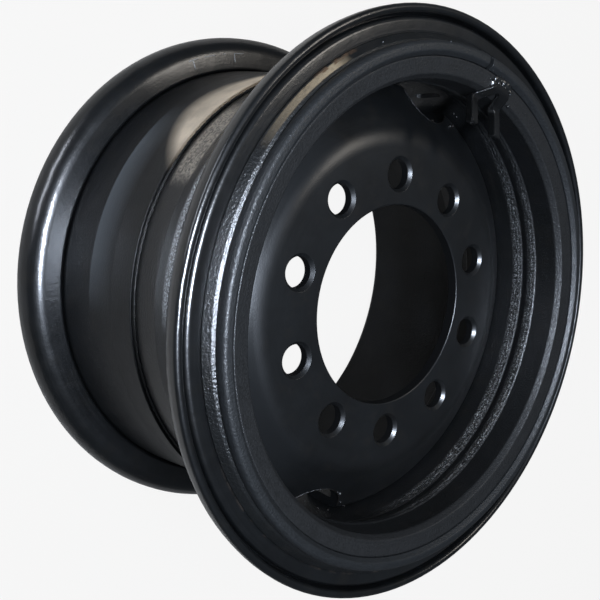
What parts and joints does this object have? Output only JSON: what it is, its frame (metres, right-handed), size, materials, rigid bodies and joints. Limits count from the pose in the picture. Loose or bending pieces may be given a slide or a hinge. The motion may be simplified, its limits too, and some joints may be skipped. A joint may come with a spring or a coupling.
{
  "type": "demountable truck wheel",
  "caption": "Black painted steel truck wheel with side rings, a split lock ring, a dished disc with stud holes and a wide hub bore, and a valve guard fork",
  "frame": {"origin": "on the wheel axis at the hub mounting face, which is the inboard face of the disc, at the centre of the hub bore", "axes": "+Z is the wheel axis and points outboard, to the lock ring side; +Y points from the axis to the valve slot; +X completes the frame. The wheel lies on its rear side ring"},
  "size_m": [0.6159, 0.616, 0.3544],
  "materials": {
    "rim_paint": "satin black paint over rolled steel, faintly rough",
    "ring_paint": "gloss black paint over hot rolled steel",
    "lock_paint": "black paint over rough scaled steel",
    "disc_paint": "smooth satin black paint over pressed steel",
    "weld_paint": "black paint over rough weld metal"
  },
  "bodies": {
    "root": {"rim_rear_band": "rim_paint", "rim_gutter_band": "rim_paint", "rear_side_ring": "ring_paint", "front_side_ring": "ring_paint", "lock_ring": "lock_paint", "disc": "disc_paint", "disc_weld": "weld_paint", "valve_guard": "weld_paint"}
  },
  "joints": []
}
